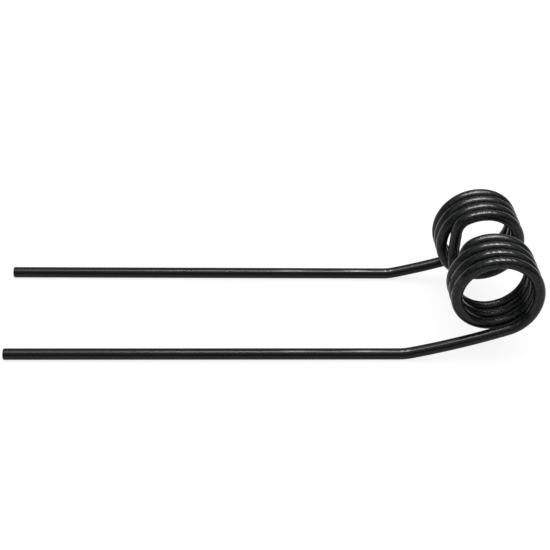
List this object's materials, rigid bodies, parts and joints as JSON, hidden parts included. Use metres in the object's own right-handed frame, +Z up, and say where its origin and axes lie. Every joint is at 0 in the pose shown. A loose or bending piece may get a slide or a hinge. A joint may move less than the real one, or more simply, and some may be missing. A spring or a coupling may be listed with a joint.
{
  "type": "hay rake spring tine",
  "caption": "Double torsion spring tine bent from round black-coated wire: long straight tines, coaxial coils and a hairpin bridge between the coils for clamping to a rake bar.",
  "frame": {"origin": "on the common axis of the two coils, midway between them", "axes": "+X away from the tine tips, +Y along the coil axis from the shorter tine to the longer one, +Z up with the straight tines lying level"},
  "size_m": [0.4227, 0.1152, 0.0937],
  "materials": {
    "coated_spring_steel": "black coating, satin with a soft gloss"
  },
  "bodies": {
    "root": {"spring_tine": "coated_spring_steel"}
  },
  "joints": []
}
